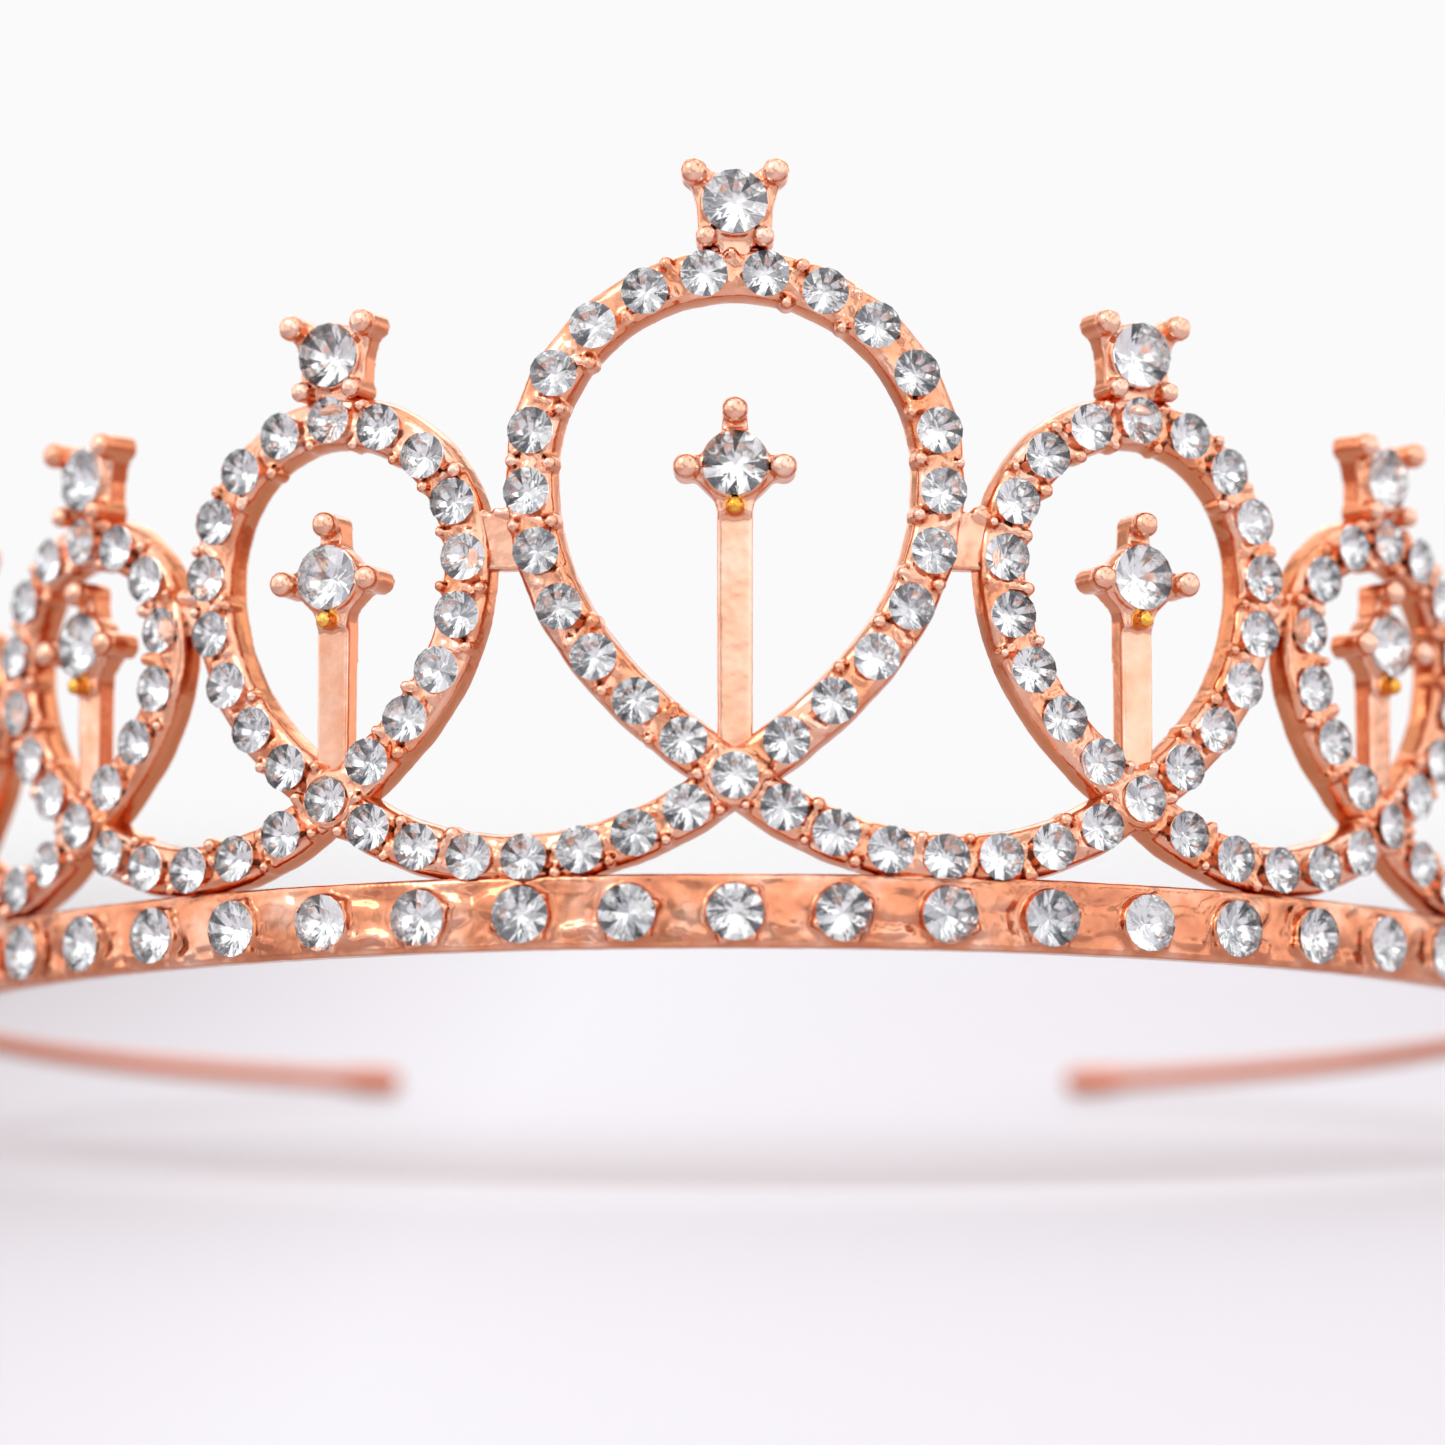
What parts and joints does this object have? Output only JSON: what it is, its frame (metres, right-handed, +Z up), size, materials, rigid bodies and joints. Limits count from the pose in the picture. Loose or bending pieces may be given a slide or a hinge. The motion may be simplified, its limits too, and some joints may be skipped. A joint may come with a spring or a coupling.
{
  "type": "tiara",
  "caption": "Stone-set bridal tiara: curved band, soldered loops of set strand with swags, post ornaments and finials, and two springy side arms.",
  "frame": {"origin": "centre of the band's circle, on the plane its lower edge and the arm tips rest on", "axes": "+Z up, front of the tiara faces -Y, wearer's right at -X"},
  "size_m": [0.1304, 0.1255, 0.057],
  "materials": {
    "cast_metal": "bright rose-gold plate over a cast, slightly pitted surface",
    "band_metal": "bright rose-gold plate over drawn strip and wire, with solder ripples",
    "crystal": "clear faceted glass with a foiled back"
  },
  "bodies": {
    "crest": {"band_stones": "crystal", "bridge_left_1": "cast_metal", "bridge_left_2": "cast_metal", "bridge_left_3": "cast_metal", "bridge_right_1": "cast_metal", "bridge_right_2": "cast_metal", "bridge_right_3": "cast_metal", "end_scroll_left": "cast_metal", "end_scroll_right": "cast_metal", "finial_centre": "cast_metal", "finial_left_1": "cast_metal", "finial_left_2": "cast_metal", "finial_left_3": "cast_metal", "finial_right_1": "cast_metal", "finial_right_2": "cast_metal", "finial_right_3": "cast_metal", "finial_stones": "crystal", "front_band": "band_metal", "inner_stones": "crystal", "loop_centre": "cast_metal", "loop_centre_stones": "crystal", "loop_left_1": "cast_metal", "loop_left_1_stones": "crystal", "loop_left_2": "cast_metal", "loop_left_2_stones": "crystal", "loop_left_3": "cast_metal", "loop_left_3_stones": "crystal", "loop_right_1": "cast_metal", "loop_right_1_stones": "crystal", "loop_right_2": "cast_metal", "loop_right_2_stones": "crystal", "loop_right_3": "cast_metal", "loop_right_3_stones": "crystal", "post_centre": "cast_metal", "post_left_1": "cast_metal", "post_left_2": "cast_metal", "post_left_3": "cast_metal", "post_right_1": "cast_metal", "post_right_2": "cast_metal", "post_right_3": "cast_metal", "swag_left_1": "cast_metal", "swag_left_2": "cast_metal", "swag_left_3": "cast_metal", "swag_left_stones": "crystal", "swag_right_1": "cast_metal", "swag_right_2": "cast_metal", "swag_right_3": "cast_metal", "swag_right_stones": "crystal"},
    "arm_left": {"arm_left": "band_metal"},
    "arm_right": {"arm_right": "band_metal"}
  },
  "joints": [
    {"name": "left_arm_flex", "type": "hinge", "parent": "crest", "child": "arm_left", "pos_m": [-0.06337, -0.01117, 0], "axis": [0, 0, 1], "range_deg": [-3, 10], "stiffness_Nm_per_rad": 1.2},
    {"name": "right_arm_flex", "type": "hinge", "parent": "crest", "child": "arm_right", "pos_m": [0.06337, -0.01117, 0], "axis": [0, 0, -1], "range_deg": [-3, 10], "stiffness_Nm_per_rad": 1.2}
  ]
}
